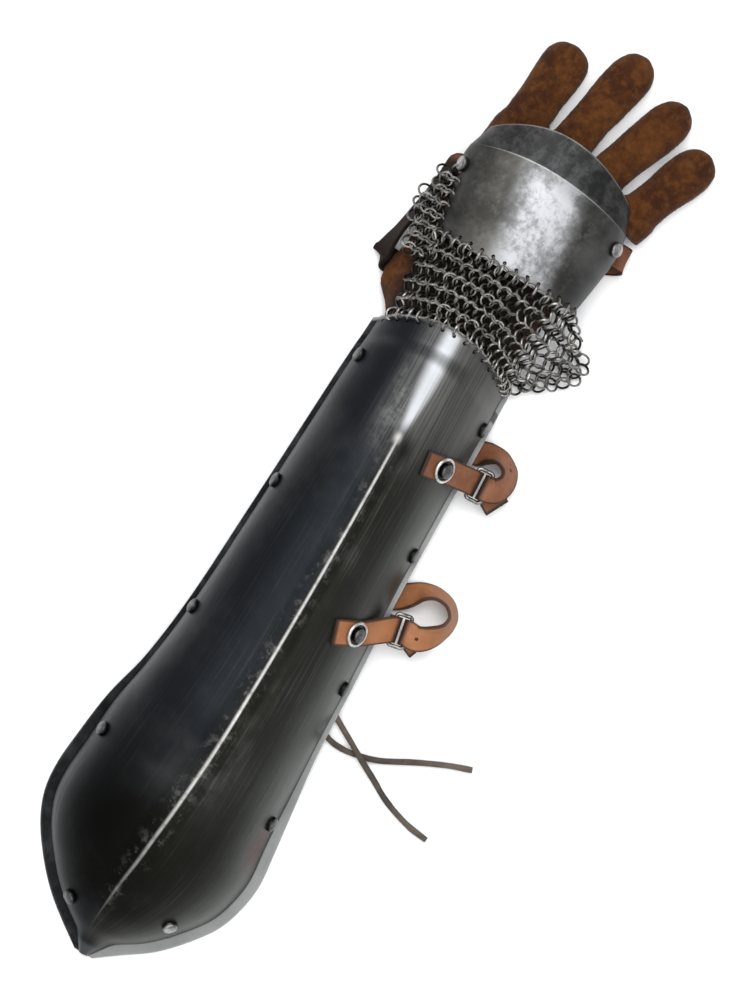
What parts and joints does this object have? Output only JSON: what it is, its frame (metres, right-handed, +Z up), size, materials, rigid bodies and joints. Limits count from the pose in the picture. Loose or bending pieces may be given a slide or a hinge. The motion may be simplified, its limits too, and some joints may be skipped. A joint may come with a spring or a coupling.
{
  "type": "bazuband arm guard",
  "caption": "Steel arm guard with a pointed elbow, a mail wrist, a hand plate and a suede glove, held by two slit straps and a palm strap.",
  "frame": {"origin": "on the resting surface, under the middle of the box round everything but the two laces", "axes": "+X from the elbow tip to the fingertips, +Y to the thumb side, +Z up from the surface it lies on"},
  "size_m": [0.5874, 0.2005, 0.0549],
  "materials": {
    "black_steel": "dark oil-blackened steel, rubbed brighter along the ridge and the wrist",
    "hand_steel": "worn mottled steel, half bright",
    "bright_steel": "worn bright steel",
    "mail_steel": "round iron wire rings, dull",
    "suede": "brown suede, napped and dirty",
    "tan_leather": "smooth tan strap leather, darkened at the cut edges",
    "dark_leather": "soft grey-brown thong"
  },
  "bodies": {
    "root": {"forearm_plate": "black_steel", "hand_plate": "hand_steel", "mail": "mail_steel", "glove": "suede", "palm_strap": "tan_leather", "hand_rivet_thumb": "bright_steel", "hand_rivet_little": "bright_steel", "lace_tab": "dark_leather", "lace_a": "dark_leather", "lace_b": "dark_leather", "forearm_rivet_thumb_1": "black_steel", "forearm_rivet_little_1": "black_steel", "forearm_rivet_thumb_2": "black_steel", "forearm_rivet_little_2": "black_steel", "forearm_rivet_thumb_3": "black_steel", "forearm_rivet_little_3": "black_steel", "forearm_rivet_thumb_4": "black_steel", "forearm_rivet_little_4": "black_steel", "forearm_rivet_thumb_5": "black_steel", "forearm_rivet_little_5": "black_steel", "elbow_strap_short": "tan_leather", "elbow_strap_long": "tan_leather", "elbow_strap_wire_loop": "black_steel", "elbow_strap_washer": "bright_steel", "elbow_strap_rivet": "black_steel", "wrist_strap_short": "tan_leather", "wrist_strap_long": "tan_leather", "wrist_strap_wire_loop": "black_steel", "wrist_strap_washer": "bright_steel", "wrist_strap_rivet": "black_steel"}
  },
  "joints": []
}
